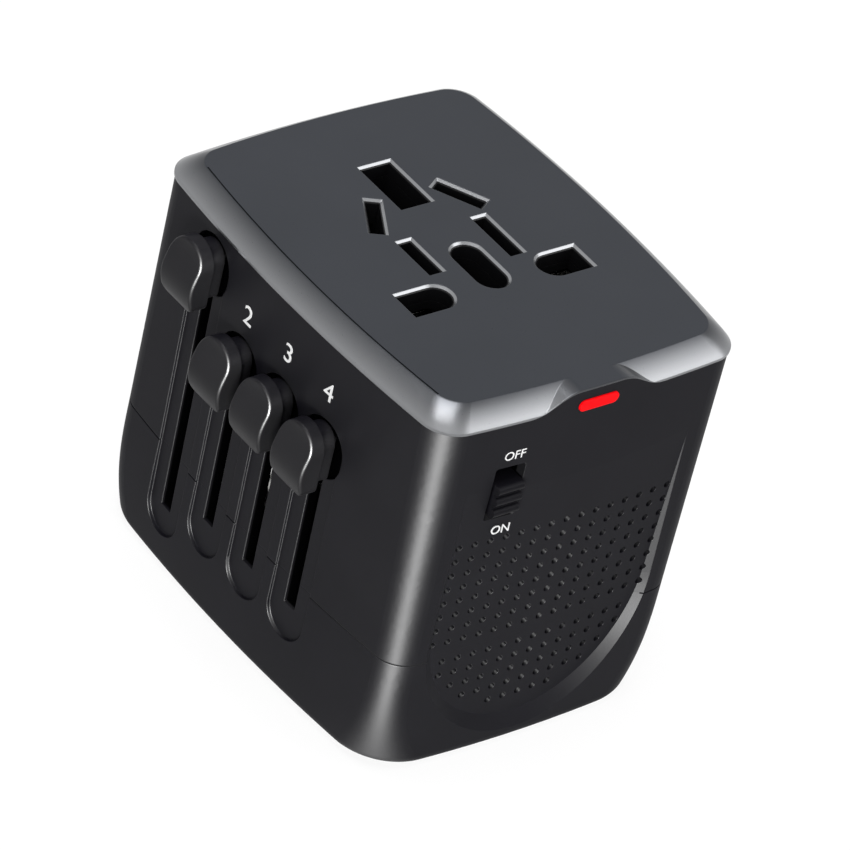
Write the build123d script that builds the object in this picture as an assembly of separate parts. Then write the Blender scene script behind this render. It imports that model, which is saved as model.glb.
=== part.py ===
from build123d import *
import os
from math import sqrt, radians, sin, cos, atan2, degrees

# A travel voltage converter, in millimetres. The origin is on the underside, at the middle of the body.
# +Z is up towards the socket, -Y is the front with the switch and the vents, -X is the side with the sliders.

# Outer body: half sizes of its level sections, from the cover down to the underside
body_height = 58.6
seam_height_share = 0.3106
seam_half_width = 24.9
seam_half_depth = 32.0
seam_corner = 4.2
bezel_height = 2.5
bezel_lip = 0.35
rim_flare = 1.2
rim_end_inset = 0.1
rim_corner = 4.8
rim_overhang = 0.15
plate_inset = 2.8
plate_corner = 3.7
bezel_bulge_side = 0.3
bezel_bulge_end = 0.1
base_taper = 0.7
base_end_flare = 0.1
base_corner = 9.5
base_round = 1.6
side_bow = 2.0
end_bow = 1.3
lower_ease = 3
lower_height_shares = (1.0, 0.72, 0.45, 0.27)
round_height_shares = (0.55, 0.2, 0.05, 0.0)

# Walls, fits and seats
wall = 2.2
floor = 2.2
plate_thickness = 2.4
slide_clearance = 0.2
pin_clearance = 0.25
seat_clearance = 0.15
lip_height = 1.5
lip_thickness = 1.3
groove_width = 0.22
groove_depth = 0.25
seam_gap = 0.2
seam_gap_depth = 0.3
overrun = 2.0

# Notch in the cover's front edge, with the lamp window below it
notch_half_width = 11.0
notch_flat_half = 3.2
lamp_width = 6.4
lamp_height = 1.7
lamp_drop = 2.85
lamp_proud = 0.15
light_pipe_width = 5.0
light_pipe_height = 1.0
light_pipe_drop = 3.1
light_pipe_length = 4.2
led_width = 3.2
led_height = 2.2

# Universal socket: places on the cover, from the body's middle
line_socket_y = -8.7
line_socket_width = 4.3
line_socket_inner = 9.5
line_socket_outer = 14.35
flat_socket_spacing = 12.7
flat_socket_y = -0.85
flat_socket_width = 1.8
flat_socket_lengths = (6.8, 8.1)
slant_socket_spacing = 13.7
slant_socket_y = 8.4
slant_socket_size = (1.8, 6.8)
slant_angle = 30
earth_socket_y = 13.2
earth_socket_size = (4.6, 9.0)
oval_socket_y = -5.3
oval_socket_size = (4.3, 9.4)
socket_lip = 0.5

# Socket block and its contacts
block_half_width = 16.0
block_front = -13.2
block_back = 19.0
block_height = 10.2
block_wall = 1.3
block_side_wall = 0.7
pocket_inner = 4.5
contact_thickness = 0.6
contact_height = 6.6
contact_top_gap = 0.4
contact_gap = 0.1
blade_contact_gap = 0.3

# Slider tracks on the left side. The first track is longer than the others at both ends
track_count = 4
track_pitch = 9.2
first_track_y = 16.8
track_width = 7.3
track_depth = 0.5
track_top_drop = 15.2
track_bottom = 8.8
long_track_rise = 9.6
long_track_drop = 3.6
park_width = 8.3
park_depth = 1.3
park_height = 9.0
park_top_drop = 13.7
slot_width = 2.2
slot_top_drop = 16.0
slot_bottom = 13.8
long_slot_drop = 4.6

# Finger pads. The profile is read from the head down: share of the height, step inwards
pad_width = 6.8
pad_height = 9.8
pad_top_drop = 13.2
pad_back = 27.6
pad_thickness = 2.25
pad_profile = ((1.0, 0.15), (0.76, 0.0), (0.42, -0.85), (0.2, -0.62), (0.0, 0.25))
pad_edge = 0.35
pad_foot_corner = 1.4
neck_back = 25.2
neck_inset = 1.0
neck_foot_corner = 0.8
stem_width = 1.8
stem_height = 4.0
stem_top_drop = 16.4

# Carriers that the finger pads push
carrier_rest = 4.2
carrier_thickness = 6.0
carrier_left = 20.0
carrier_margin = 0.9
riser_width = 3.6
riser_margin = 0.2
slot_end_gaps = 1.5
long_travel_extra = 12.8
pin_tip_recess = 0.6
pin_seat_depth = 4.0
pin_tip_chamfer = 0.5

# Round pins, on a raised boss that comes out with them
round_pin_spacing = 19.0
round_pin_radius = 2.0
round_pin_length = 19.0
round_pin_y = 22.9
round_pin_tip = 1.0
boss_half_length = 13.3
boss_half_width = 4.6
boss_cut = 3.2
flange_thickness = 3.0
flange_margin = 0.2
tail_width = 2.4
tail_thickness = 0.5

# Flat pins and slanted pins. Each set is shorter than the earth pin by its own step
flat_pin_spacing = 12.7
flat_pin_size = (1.5, 6.35)
flat_pin_step = 6.7
flat_pin_y = -7.2
slant_pin_spacing = 13.7
slant_pin_size = (1.6, 6.3)
slant_pin_step = 5.6
slant_pin_y = 14.2
slant_arm_right = 8.0
slant_arm_back = 13.5

# Rectangular pins
square_pin_spacing = 22.2
square_pin_size = (6.35, 4.0)
square_pin_step = 5.0
square_pin_y = -16.0
earth_pin_size = (4.0, 8.0)
earth_pin_offset = 22.2
sleeve_length = 9.0
sleeve_thickness = 0.5
hook_inner = 12.5
hook_width = 4.0
flat_arm_left = 15.4

# Plates on the floor that the pins pass through
bus_thickness = 0.6
bus_inner = 3.4
bus_outer = 14.8
bus_front = -19.2
bus_back = 17.85
bus_clearance = 0.1
ear_thickness = 0.35
ear_height = 8.0
ear_width = 3.0
guide_thickness = 1.2
guide_half_width = 15.4
guide_back = 17.3

# Screws that hold the two housings
screw_inset_x = 8.0
screw_inset_y = 7.4
screw_radius = 1.1
screw_head_radius = 1.75
screw_head_height = 1.2
screw_head_seat = 1.5
screw_reach = 4.8
screw_hole_reach = 6.8
screw_drive_width = 0.5
post_radius = 2.2
post_height = 11.8
web_thickness = 1.6
hole_clearance = 0.05

# Vent recess and vent holes in the front
recess_half_width = 17.4
recess_spread = 2.1
recess_depth = 1.35
recess_centre_height = 21.5
recess_fade_drop = 9.0
vent_radius = 0.5
vent_pitch_x = 2.44
vent_pitch_z = 2.34
vent_columns = 15
vent_seam_gap = 1.9
vent_rows = 8
lower_vent_seam_gap = 1.5
lower_vent_pitch = 2.37
lower_vent_half_columns = (6, 6, 5, 4, 2)

# Mode switch in the front
switch_x = -12.05
switch_slot_drop = 14.1
switch_slot_size = (4.7, 8.4)
switch_slot_corner = 0.4
mode_knob_size = (4.2, 4.9)
mode_knob_drop = 14.75
mode_knob_proud = 0.3
mode_rib_count = 3
mode_rib_radius = 0.65
mode_foot_margin = 0.8
mode_foot_thickness = 1.0
mode_travel = 2.0
switch_body_size = (8.6, 9.4)
switch_inset = 2.8
terminal_size = (0.6, 1.6)
terminal_count = 3
terminal_pitch = 2.6
terminal_proud = 0.9

# Converter board and what it carries, behind the vents
board_half_width = 14.0
board_inset = 12.15
board_thickness = 1.6
board_top_gap = 0.3
sink_size = (14.0, 1.5, 22.0)
sink_x = 5.0
sink_bottom = 8.0
sink_fin_depth = 1.8
sink_fin_thickness = 1.0
sink_fin_count = 5
triac_size = (10.0, 4.5, 9.2)
triac_tab_thickness = 1.3
triac_tab_height = 6.2
triac_hole_radius = 1.8
triac_bottom = 12.0
choke_major = 3.9
choke_minor = 2.0
choke_x = -8.4
choke_z = 13.0
capacitor_size = (8.5, 5.0, 7.5)
capacitor_x = -8.4
capacitor_bottom = 21.5
fuse_radius = 2.3
fuse_length = 15.0
fuse_drop = 25.2
fuse_lift = 0.4
clip_length = 4.0
clip_thickness = 0.5
board_screw_x = (-4.4, 11.0)
board_screw_drop = 16.6
board_post_radius = 1.9
board_screw_radius = 0.9
board_screw_head_radius = 1.7
board_screw_head_height = 0.7
board_screw_depth = 4.5

# Levels and places that follow from the sizes above
seam_height = body_height * seam_height_share
rim_half_width = seam_half_width + rim_flare
rim_half_depth = seam_half_depth - rim_end_inset
plate_half_width = rim_half_width - plate_inset
plate_half_depth = rim_half_depth - plate_inset
base_half_width = seam_half_width - base_taper
base_half_depth = seam_half_depth + base_end_flare
shell_top = body_height - bezel_height - bezel_lip
shell_half_width = rim_half_width - rim_overhang
shell_half_depth = rim_half_depth - rim_overhang
tab_back = wall - shell_half_depth
board_back = board_inset - shell_half_depth
board_front = board_back - board_thickness
switch_front = switch_inset - shell_half_depth
bus_top = floor + bus_thickness
guide_top = bus_top + guide_thickness
block_top = body_height - plate_thickness
block_bottom = block_top - block_height
board_top = block_top - board_top_gap
board_screw_places = [(x, body_height - board_screw_drop) for x in board_screw_x]
fuse_z = body_height - fuse_drop
screw_x = seam_half_width - screw_inset_x
screw_y = seam_half_depth - screw_inset_y
post_top = seam_height + post_height
track_top = body_height - track_top_drop
slot_top = body_height - slot_top_drop
pad_bottom = body_height - pad_top_drop - pad_height
stem_bottom = body_height - stem_top_drop - stem_height
short_travel = slot_top - slot_bottom - stem_height - slot_end_gaps
long_travel = short_travel + long_travel_extra
earth_pin_length = short_travel - pin_tip_recess
square_pin_length = earth_pin_length - square_pin_step
slant_pin_length = earth_pin_length - slant_pin_step
flat_pin_length = earth_pin_length - flat_pin_step
short_rest = carrier_rest + short_travel
long_rest = carrier_rest + long_travel
mode_knob_z = body_height - mode_knob_drop
switch_z = body_height - switch_slot_drop
mode_foot_front = switch_front + slide_clearance


def mix(a, b, share):
    return a + (b - a) * share


def outline(half_width, half_depth, corner, z):
    """A level face with four outward-bowed sides and round corners."""
    side_radius = (half_depth ** 2 + side_bow ** 2) / (2 * side_bow)
    end_radius = (half_width ** 2 + end_bow ** 2) / (2 * end_bow)
    side_centre = half_width - side_radius
    end_centre = half_depth - end_radius
    x, y = half_width - corner, half_depth - corner
    for _ in range(12):
        x = side_centre + sqrt((side_radius - corner) ** 2 - y ** 2)
        y = end_centre + sqrt((end_radius - corner) ** 2 - x ** 2)
    start = atan2(y, x - side_centre)
    stop = atan2(y - end_centre, x)
    a, m, b = [(x + corner * cos(turn), y + corner * sin(turn)) for turn in (start, (start + stop) / 2, stop)]
    edges = []
    for sx, sy in ((1, 1), (-1, 1), (-1, -1), (1, -1)):
        first, last = ((a, b) if sx * sy > 0 else (b, a))
        edges.append(ThreePointArc((sx * first[0], sy * first[1]), (sx * m[0], sy * m[1]),
                                   (sx * last[0], sy * last[1])))
        if sx * sy > 0:
            edges.append(ThreePointArc((sx * b[0], sy * b[1]), (0, sy * half_depth), (-sx * b[0], sy * b[1])))
        else:
            edges.append(ThreePointArc((sx * a[0], sy * a[1]), (sx * half_width, 0), (sx * a[0], -sy * a[1])))
    return Pos(0, 0, z) * make_face(edges)


def half_sizes(z):
    """Half width, half depth and corner radius of the body at a height, above its rounded foot."""
    if z >= seam_height:
        share = (z - seam_height) / (shell_top - seam_height)
        end = (shell_half_width, shell_half_depth, rim_corner)
    else:
        share = ((seam_height - z) / seam_height) ** lower_ease
        end = (base_half_width, base_half_depth, base_corner)
    start = (seam_half_width, seam_half_depth, seam_corner)
    return [mix(a, b, share) for a, b in zip(start, end)]


def section(z, inset=0):
    """The body's outline at a height, moved inwards by inset."""
    width, depth, corner = half_sizes(z)
    if z < base_round:
        inset = inset + base_round - sqrt(base_round ** 2 - (base_round - z) ** 2)
    return outline(width - inset, depth - inset, corner - inset, z)


def side_x(y, z):
    """Half width of the body at a height and a distance from its middle."""
    return half_sizes(z)[0] - side_bow * (y / seam_half_depth) ** 2


def block(x0, x1, y0, y1, z0, z1):
    """A box between two corners."""
    return Pos((x0 + x1) / 2, (y0 + y1) / 2, (z0 + z1) / 2) * Box(abs(x1 - x0), abs(y1 - y0), abs(z1 - z0))


def upright(radius, x, y, z0, z1):
    """A cylinder that stands on height z0."""
    return Pos(x, y, (z0 + z1) / 2) * Cylinder(radius, z1 - z0)


def facing(radius, x, z, y0, y1):
    """A cylinder that runs from the front to the back."""
    return Pos(x, (y0 + y1) / 2, z) * Rot(90, 0, 0) * Cylinder(radius, y1 - y0)


def raised(face, z0, z1):
    """A level face drawn up from z0 to z1."""
    return extrude(Pos(0, 0, z0) * face, amount=z1 - z0)


def pushed(face, y0, y1):
    """A face drawn in the XZ plane, as a prism from y0 to y1."""
    return extrude(Plane.XZ.offset(-y1) * face, amount=y1 - y0)


def corners():
    return [(sx, sy) for sx in (-1, 1) for sy in (-1, 1)]


# Outer skins
def upper_body(inset=0):
    return loft([section(seam_height, inset), section(shell_top, inset)], ruled=True)


def lower_body():
    heights = [seam_height * share for share in lower_height_shares] + [base_round]
    upper = loft([section(z) for z in heights])
    ends = [base_round] + [base_round * share for share in round_height_shares]
    return upper + loft([section(z) for z in ends])


def lower_cavity():
    level = floor + overrun
    taper = loft([section(level, wall), section(seam_height, wall)], ruled=True)
    return taper + extrude(section(level, wall), amount=-overrun)


# Socket openings
def flared(big, small):
    """An opening through the cover and the block, with a bevelled lip at the top."""
    straight = raised(small, block_bottom - overrun, body_height + overrun)
    lip_foot = Pos(0, 0, body_height - socket_lip) * small
    return straight + loft([lip_foot, Pos(0, 0, body_height) * big], ruled=True)


def straight_opening(size, x, y, angle=0):
    place = Pos(x, y) * Rot(0, 0, angle)
    return flared(place * Rectangle(size[0] + 2 * socket_lip, size[1] + 2 * socket_lip),
                  place * Rectangle(size[0], size[1]))


def oval_opening():
    width, length = oval_socket_size
    place = Pos(0, oval_socket_y) * Rot(0, 0, 90)
    return flared(place * SlotOverall(length + 2 * socket_lip, width + 2 * socket_lip),
                  place * SlotOverall(length, width))


def line_face(side, extra):
    """The outline of one line opening: round towards the middle, square at its outer end."""
    half = line_socket_width / 2 + extra
    inner, outer = side * line_socket_inner, side * (line_socket_outer + extra)
    low, high = line_socket_y - half, line_socket_y + half
    square_end = Polyline((inner, low), (outer, low), (outer, high), (inner, high))
    round_end = ThreePointArc((inner, high), (inner - side * half, line_socket_y), (inner, low))
    return make_face([square_end, round_end])


def socket_openings():
    openings = [oval_opening(), straight_opening(earth_socket_size, 0, earth_socket_y)]
    for side, length in zip((-1, 1), flat_socket_lengths):
        openings.append(flared(line_face(side, socket_lip), line_face(side, 0)))
        openings.append(straight_opening((flat_socket_width, length), side * flat_socket_spacing / 2,
                                         flat_socket_y))
        openings.append(straight_opening(slant_socket_size, side * slant_socket_spacing / 2, slant_socket_y,
                                         side * slant_angle))
    return openings


# Notch and lamp window
def notch_face(rise):
    """The bump that the cover's lower edge follows over the lamp, seen from the front."""
    high = shell_top + rise
    low = shell_top - overrun
    left = Spline((-notch_half_width, shell_top), (-notch_flat_half, high), tangents=((1, 0), (1, 0)))
    flat = Line((-notch_flat_half, high), (notch_flat_half, high))
    right = Spline((notch_flat_half, high), (notch_half_width, shell_top), tangents=((1, 0), (1, 0)))
    under = Polyline((notch_half_width, shell_top), (notch_half_width, low), (-notch_half_width, low),
                     (-notch_half_width, shell_top))
    return make_face([left, flat, right, under])


def tab():
    """The part of the front wall that stands up into the notch."""
    column = extrude(section(shell_top), amount=bezel_height)
    bump = pushed(notch_face(bezel_height), -rim_half_depth - overrun, tab_back)
    return column & bump & block(-rim_half_width, rim_half_width, -rim_half_depth, tab_back, shell_top,
                                 body_height)


def lamp_pill(extra, y0, y1):
    pill = SlotOverall(lamp_width + 2 * extra, lamp_height + 2 * extra)
    return pushed(Pos(0, body_height - lamp_drop) * pill, y0, y1)


def bezel_groove():
    """A fine groove between the plate and the bezel, on the slider side."""
    plate = outline(plate_half_width, plate_half_depth, plate_corner, body_height)
    inner = outline(plate_half_width - groove_width, plate_half_depth - groove_width,
                    plate_corner - groove_width, body_height)
    ring = extrude(plate, amount=-groove_depth) - extrude(inner, amount=-groove_depth)
    straight = plate_half_depth - plate_corner
    return ring & block(-rim_half_width, 0, -straight, straight, body_height - bezel_height, body_height)


def cover_lip():
    """The ring under the cover that goes inside the upper housing."""
    inset = wall + seat_clearance
    outer = Pos(0, 0, -lip_height) * section(shell_top, inset)
    inner = Pos(0, 0, -lip_height) * section(shell_top, inset + lip_thickness)
    rise = block_top - shell_top + lip_height
    ring = extrude(outer, amount=rise) - extrude(inner, amount=rise)
    half_gap = lamp_width / 2 + seat_clearance
    return ring - block(-half_gap, half_gap, -rim_half_depth, 0, shell_top - lip_height, block_top)


def top_cover():
    rim_z = body_height - bezel_height
    rim = outline(rim_half_width, rim_half_depth, rim_corner, rim_z)
    middle = outline(mix(rim_half_width, plate_half_width, 1 / 2) + bezel_bulge_side,
                     mix(rim_half_depth, plate_half_depth, 1 / 2) + bezel_bulge_end,
                     mix(rim_corner, plate_corner, 1 / 2), mix(rim_z, body_height, 1 / 2))
    plate = outline(plate_half_width, plate_half_depth, plate_corner, body_height)
    cover = loft([rim, middle, plate]) + extrude(rim, amount=-bezel_lip)
    bump_back = bezel_height - plate_half_depth
    bump = pushed(notch_face(bezel_height + bezel_lip), -rim_half_depth - overrun, bump_back)
    cover += bump & extrude(rim, amount=bezel_height)
    cover -= extrude(section(shell_top, wall), amount=block_top - shell_top)
    cover += cover_lip()
    cover -= pushed(notch_face(bezel_height), -rim_half_depth - overrun, tab_back + seat_clearance)
    return cover - bezel_groove() - socket_openings()


def socket_block():
    body = block(-block_half_width, block_half_width, block_front, block_back, block_bottom, block_top)
    pocket_outer = block_half_width - block_side_wall
    for side in (-1, 1):
        body -= block(side * pocket_inner, side * pocket_outer, block_front + block_wall,
                      block_back - block_wall, block_bottom, block_top - block_wall)
    return body - socket_openings()


def strip(x0, y0, x1, y1, z0, z1):
    """An upright metal strip between two points, with round ends."""
    length = sqrt((x1 - x0) ** 2 + (y1 - y0) ** 2)
    turn = degrees(atan2(y1 - y0, x1 - x0))
    face = Pos((x0 + x1) / 2, (y0 + y1) / 2) * Rot(0, 0, turn) * SlotCenterToCenter(length, contact_thickness)
    return raised(face, z0, z1)


def contact(side):
    """One bent strip: a fork round the line opening, then a flat blade's contact, then a slanted one's."""
    z1 = block_top - block_wall - contact_top_gap
    z0 = z1 - contact_height
    t = contact_thickness
    outer = line_socket_outer + contact_gap
    reach = line_socket_width / 2 + contact_gap
    low, high = line_socket_y - reach, line_socket_y + reach
    piece = block(side * outer, side * (outer + t), low - t, high + t, z0, z1)
    piece += block(side * line_socket_inner, side * (outer + t), low - t, low, z0, z1)
    blade = (flat_socket_spacing + flat_socket_width + t) / 2 + blade_contact_gap
    piece += block(side * (blade - t / 2), side * (outer + t), high, high + t, z0, z1)
    bend_y = flat_socket_y + flat_socket_lengths[1] / 2
    a = radians(slant_angle)
    away = (slant_socket_size[0] + t) / 2 + blade_contact_gap
    x, y = slant_socket_spacing / 2 + away * cos(a), slant_socket_y + away * sin(a)
    half = slant_socket_size[1] / 2 - t
    near = (x + half * sin(a), y - half * cos(a))
    far = (x - half * sin(a), y + half * cos(a))
    points = [(blade, high + t / 2), (blade, bend_y), near, far]
    for p, q in zip(points, points[1:]):
        piece += strip(side * p[0], p[1], side * q[0], q[1], z0, z1)
    return piece


# Tracks on the left side
def track_y(index):
    return first_track_y - index * track_pitch


def rise(index):
    return long_track_rise if index == 0 else 0


def side_plane(y, low, high):
    """A plane that lies on the left side between two heights. Its origin is at y, on the lower one."""
    lean = degrees(atan2(side_x(y, high) - side_x(y, low), high - low))
    turn = degrees(atan2(2 * side_bow * y, seam_half_depth ** 2))
    plane = Plane(origin=(-side_x(y, low), y, low), x_dir=(0, -1, 0), z_dir=(-1, 0, 0))
    return plane * Rot(0, -turn, 0) * Rot(lean, 0, 0)


def upright_slot(low, high, width, depth):
    """A racetrack cut between two heights above its plane's origin, as deep as asked."""
    face = Pos(0, (low + high) / 2) * Rot(0, 0, 90) * SlotOverall(high - low, width)
    return Pos(0, 0, -depth) * extrude(face, amount=depth + overrun)


def track_cut(index):
    """A shallow racetrack recess with a deeper parking place at its top, and a slot through its middle."""
    y = track_y(index)
    top = track_top + rise(index)
    bottom = track_bottom - (long_track_drop if index == 0 else 0)
    park_top = body_height - park_top_drop + rise(index) - bottom
    place = side_plane(y, bottom, top)
    recess = place * upright_slot(0, top - bottom, track_width, track_depth)
    parking = place * upright_slot(park_top - park_height, park_top, park_width, park_depth)
    low = slot_bottom - (long_slot_drop if index == 0 else 0)
    inner = side_bow + 2 * wall - seam_half_width
    slot = block(-rim_half_width, inner, y - slot_width / 2, y + slot_width / 2, low, slot_top + rise(index))
    return recess + parking + slot


# Front features
def u_face(half_width):
    """The recess outline: straight sides and a half circle below, seen from the front."""
    centre = recess_centre_height
    top = body_height - recess_fade_drop
    sides = Polyline((half_width, centre), (half_width, top), (-half_width, top), (-half_width, centre))
    bottom = ThreePointArc((-half_width, centre), (0, centre - half_width), (half_width, centre))
    return make_face([sides, bottom])


def recess_cut():
    """The vent recess. Its floor follows the front's bow, and it fades out towards the top."""
    inner_y = base_half_depth - recess_depth
    outer_y = base_half_depth + recess_depth
    inner_half = recess_half_width - recess_spread * end_bow / recess_depth
    inner = Plane.XZ.offset(inner_y - end_bow) * u_face(inner_half)
    outer = Plane.XZ.offset(outer_y) * u_face(recess_half_width + 2 * recess_spread)
    tool = loft([inner, outer], ruled=True)
    top = body_height - recess_fade_drop
    core = loft([outline(seam_half_width, inner_y, seam_corner, 0),
                 outline(seam_half_width, seam_half_depth, seam_corner, top + overrun)], ruled=True)
    return tool - core


def upper_vents():
    holes = []
    for row in range(vent_rows):
        z = seam_height + vent_seam_gap + row * vent_pitch_z
        for column in range(vent_columns):
            x = (column - (vent_columns - 1) / 2) * vent_pitch_x
            holes.append(facing(vent_radius, x, z, -rim_half_depth - overrun, tab_back + overrun))
    return holes


def lower_vents():
    holes = []
    for row, half_count in enumerate(lower_vent_half_columns):
        z = seam_height - lower_vent_seam_gap - row * lower_vent_pitch
        for column in range(-half_count, half_count + 1):
            x = column * vent_pitch_x
            holes.append(facing(vent_radius, x, z, -rim_half_depth - overrun, tab_back + overrun))
    return holes


def switch_slot():
    width, height = switch_slot_size
    face = Pos(switch_x, switch_z) * RectangleRounded(width, height, switch_slot_corner)
    return pushed(face, -rim_half_depth - overrun, switch_front)


def posts(z0, z1):
    return [upright(post_radius, sx * screw_x, sy * screw_y, z0, z1) for sx, sy in corners()]


def webs():
    """Walls that tie the upper housing's posts to its sides."""
    half = web_thickness / 2
    ribs = [block(sx * screw_x, sx * seam_half_width, sy * screw_y - half, sy * screw_y + half, seam_height,
                  post_top) for sx, sy in corners()]
    return [rib & upper_body(wall / 2) for rib in ribs]


def screw_holes(z0, z1):
    radius = screw_radius + hole_clearance
    return [upright(radius, sx * screw_x, sy * screw_y, z0, z1) for sx, sy in corners()]


def main_shell():
    shell = upper_body() - upper_body(wall) + tab() + posts(seam_height, post_top) + webs()
    shell -= screw_holes(seam_height, seam_height + screw_hole_reach)
    hole_front = board_front - board_screw_depth
    for x, z in board_screw_places:
        shell += facing(board_post_radius, x, z, tab_back - wall / 2, board_front)
        shell -= facing(board_screw_radius + hole_clearance, x, z, hole_front, board_front)
    shell -= [track_cut(index) for index in range(track_count)]
    shell -= switch_slot()
    shell -= lamp_pill(hole_clearance, -rim_half_depth - overrun, tab_back + overrun)
    return shell - upper_vents() - recess_cut()


# Pins: the place of each set on the underside
def pin_places(name):
    """Each pin of a set as (size, x, y, angle). A round pin's size is its radius."""
    flat, slant, square = flat_pin_spacing / 2, slant_pin_spacing / 2, square_pin_spacing / 2
    if name == "round":
        return [((round_pin_radius,), side * round_pin_spacing / 2, round_pin_y, 0) for side in (-1, 1)]
    if name == "flat":
        return [(flat_pin_size, side * flat, flat_pin_y, 0) for side in (-1, 1)]
    if name == "slant":
        return [(slant_pin_size, side * slant, slant_pin_y, side * slant_angle) for side in (-1, 1)]
    earth = (earth_pin_size, 0, square_pin_y + earth_pin_offset, 0)
    return [(square_pin_size, side * square, square_pin_y, 0) for side in (-1, 1)] + [earth]


def pin_face(place, extra=0):
    size, x, y, angle = place
    if len(size) == 1:
        return Pos(x, y) * Circle(size[0] + extra)
    return Pos(x, y) * Rot(0, 0, angle) * Rectangle(size[0] + 2 * extra, size[1] + 2 * extra)


def boss_face(extra=0):
    """The outline of the raised boss that carries the round pins."""
    a, b, c = boss_half_length + extra, boss_half_width + extra, boss_cut
    back = [(a, b - c), (a - c, b), (c - a, b), (-a, b - c)]
    front = [(-x, -y) for x, y in back]
    return Pos(0, round_pin_y) * make_face(Polyline(*back, *front, close=True))


def apertures(extra, z0, z1):
    """Holes for all the pins that come straight out of the floor."""
    return [raised(pin_face(place, extra), z0, z1) for name in ("flat", "slant", "square")
            for place in pin_places(name)]


def seam_groove():
    """A fine groove round the body where the two housings meet."""
    outer = extrude(section(seam_height, -overrun), amount=-seam_gap)
    return outer - extrude(section(seam_height, seam_gap_depth), amount=-seam_gap)


def lower_shell():
    shell = lower_body() - seam_groove() - lower_cavity() + posts(floor, seam_height)
    shell -= screw_holes(0, seam_height)
    shell -= [upright(screw_head_radius + seat_clearance, sx * screw_x, sy * screw_y, 0, screw_head_seat)
              for sx, sy in corners()]
    shell -= [track_cut(index) for index in range(track_count)]
    shell -= apertures(pin_clearance, -overrun, floor + overrun)
    shell -= raised(boss_face(pin_clearance), -overrun, floor + overrun)
    return shell - recess_cut() - lower_vents()


# Floor plates
def busbar(side):
    """A strip on the floor with a hole for each pin of one line, and an ear for the round pin's tail."""
    ear_x = round_pin_spacing / 2
    plate = block(side * bus_inner, side * bus_outer, bus_front, bus_back, floor, bus_top)
    plate += block(side * (ear_x - ear_width / 2), side * (ear_x + ear_width / 2), bus_back - ear_thickness,
                   bus_back, floor, bus_top + ear_height)
    return plate - apertures(bus_clearance, 0, body_height)


def guide_plate():
    plate = block(-guide_half_width, guide_half_width, bus_front, guide_back, bus_top, guide_top)
    return plate - apertures(slide_clearance, 0, body_height)


# Sliders
def pad_outline(inset, corner):
    """A pad seen from outside: a round head, and a level foot with round corners."""
    half = pad_width / 2 - inset
    high = pad_height / 2 - inset
    arch = ThreePointArc((half, high - half), (0, high), (-half, high - half))
    body = Polyline((-half, high - half), (-half, -high), (half, -high), (half, high - half))
    return fillet(make_face([arch, body]).vertices().sort_by(Axis.Y)[:2], corner)


def finger_pad(index):
    """A pad with a thick ridge near its foot, on a narrower neck and a stem that goes through the slot."""
    y = track_y(index)
    bottom = pad_bottom + rise(index)
    top = bottom + pad_height
    outer = -pad_back - pad_thickness
    line = [(outer + step, mix(bottom, top, share)) for share, step in pad_profile]
    back = Polyline(line[-1], (-pad_back, bottom), (-pad_back, top), line[0])
    side_view = pushed(make_face([Spline(line), back]), y - pad_width, y + pad_width)
    middle = Plane(origin=(0, y, (bottom + top) / 2), x_dir=(0, -1, 0), z_dir=(-1, 0, 0))
    front_view = middle.offset(pad_back) * pad_outline(0, pad_foot_corner)
    pad = side_view & extrude(front_view, amount=2 * pad_thickness)
    outer_face = pad.faces().sort_by(Axis.X)[0]
    pad = fillet(outer_face.edges(), pad_edge)
    neck_view = middle.offset(neck_back) * pad_outline(neck_inset, neck_foot_corner)
    pad += extrude(neck_view, amount=pad_back - neck_back)
    low = stem_bottom + rise(index)
    half_stem = stem_width / 2
    return pad + block(-carrier_left, -neck_back, y - half_stem, y + half_stem, low, low + stem_height)


def riser(index, base):
    """The upright side of a carrier, which its finger pad's stem meets."""
    reach = stem_width / 2 + riser_margin
    y = track_y(index)
    return block(-carrier_left, riser_width - carrier_left, y - reach, y + reach, base,
                 stem_bottom + rise(index) + stem_height)


def seats(name, base):
    """The holes in a carrier for its pins, open at its underside."""
    return [raised(pin_face(place), base, base + pin_seat_depth) for place in pin_places(name)]


def round_pin_carrier():
    tip = pin_tip_recess + round_pin_length
    top = long_rest + flange_thickness
    arm_front = round_pin_y - boss_half_width - flange_margin
    carrier = raised(boss_face(), tip, long_rest) + raised(boss_face(flange_margin), long_rest, top)
    arm_back = arm_front + riser_width
    riser_front = track_y(0) - stem_width / 2 - riser_margin
    carrier += block(-carrier_left, boss_cut - boss_half_length, arm_front, arm_back, long_rest, top)
    carrier += block(-carrier_left, riser_width - carrier_left, riser_front, arm_back, long_rest, top)
    carrier += riser(0, long_rest)
    return carrier - [raised(pin_face(place), tip, top) for place in pin_places("round")]


def slant_pin_carrier():
    top = short_rest + carrier_thickness
    a = radians(slant_angle)
    length, width = slant_pin_size[1], slant_pin_size[0]
    half = (length * cos(a) + width * sin(a)) / 2
    edge = (slant_pin_spacing + length * sin(a) + width + carrier_margin) / 2
    carrier = block(-edge, edge, slant_pin_y - half, slant_pin_y + half, short_rest, top)
    arm_front = track_y(1) - stem_width / 2 - riser_margin
    carrier += block(-carrier_left, -slant_arm_right, arm_front, slant_arm_back, short_rest, top)
    return carrier + riser(1, short_rest) - seats("slant", short_rest)


def flat_pin_carrier():
    top = short_rest + carrier_thickness
    front = flat_pin_y - (flat_pin_size[1] + carrier_margin) / 2
    back = flat_pin_y + (flat_pin_size[1] + carrier_margin) / 2
    right = flat_pin_spacing / 2 + 2 * carrier_margin
    carrier = block(-flat_arm_left, right, front, back, short_rest, top)
    arm_right, arm_back = riser_width - flat_arm_left, track_y(2) + stem_width / 2 + riser_margin
    carrier += block(-carrier_left, arm_right, back - carrier_margin, arm_back, short_rest, top)
    return carrier + riser(2, short_rest) - seats("flat", short_rest)


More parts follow.
